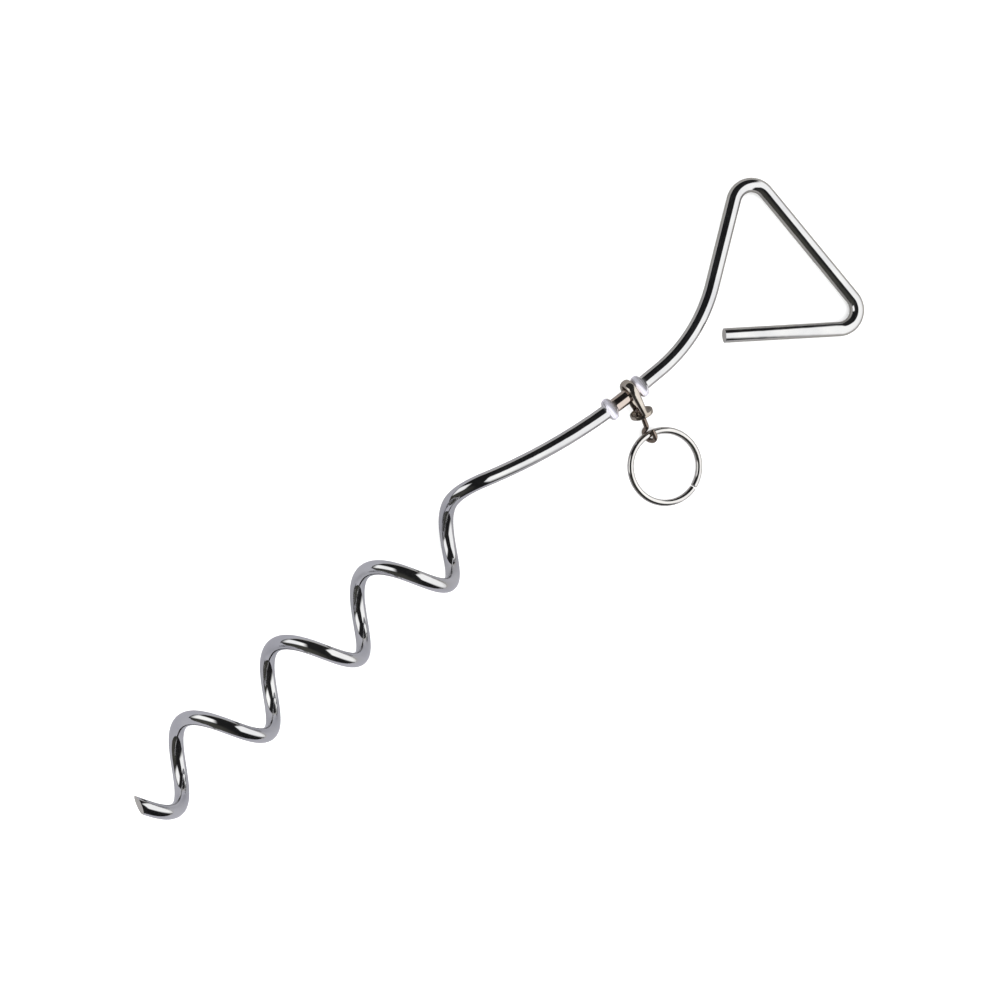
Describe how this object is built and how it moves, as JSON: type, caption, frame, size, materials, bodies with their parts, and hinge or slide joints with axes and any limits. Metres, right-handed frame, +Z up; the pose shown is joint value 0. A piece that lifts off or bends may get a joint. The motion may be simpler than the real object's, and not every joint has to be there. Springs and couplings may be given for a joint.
{
  "type": "spiral ground stake",
  "caption": "Corkscrew ground stake bent from one round rod, with a triangular handle and a tether ring on a swivel that turns round the shaft.",
  "frame": {"origin": "middle of the object's footprint, on the ground it lies on", "axes": "+X along the stake from the point to the handle, +Y across it, away from the side the ring lies on, +Z up"},
  "size_m": [0.4768, 0.1184, 0.0558],
  "materials": {
    "plated_rod": "polished chrome plate on round steel rod",
    "plated_swivel": "bright nickel plate, a little warmer and duller than the rod",
    "plated_ring": "polished plate on round wire"
  },
  "bodies": {
    "stake": {"stake_rod": "plated_rod"},
    "bow": {"swivel_bow": "plated_swivel"},
    "pin": {"eye_pin": "plated_swivel"},
    "ring": {"tether_ring": "plated_ring"}
  },
  "joints": [
    {"name": "bow_turn", "type": "hinge", "parent": "stake", "child": "bow", "pos_m": [0.1015, 0.00675, 0.01271], "axis": [0.9971, -0.021, -0.0738], "continuous": true},
    {"name": "pin_spin", "type": "hinge", "parent": "bow", "child": "pin", "pos_m": [0.10144, -0.00599, 0.00855], "axis": [-0.2254, -0.9305, -0.2886], "continuous": true},
    {"name": "ring_swing", "type": "hinge", "parent": "pin", "child": "ring", "pos_m": [0.09846, -0.01827, 0.00475], "axis": [0.9731, -0.2009, -0.1125], "range_deg": [-85, 115]}
  ]
}
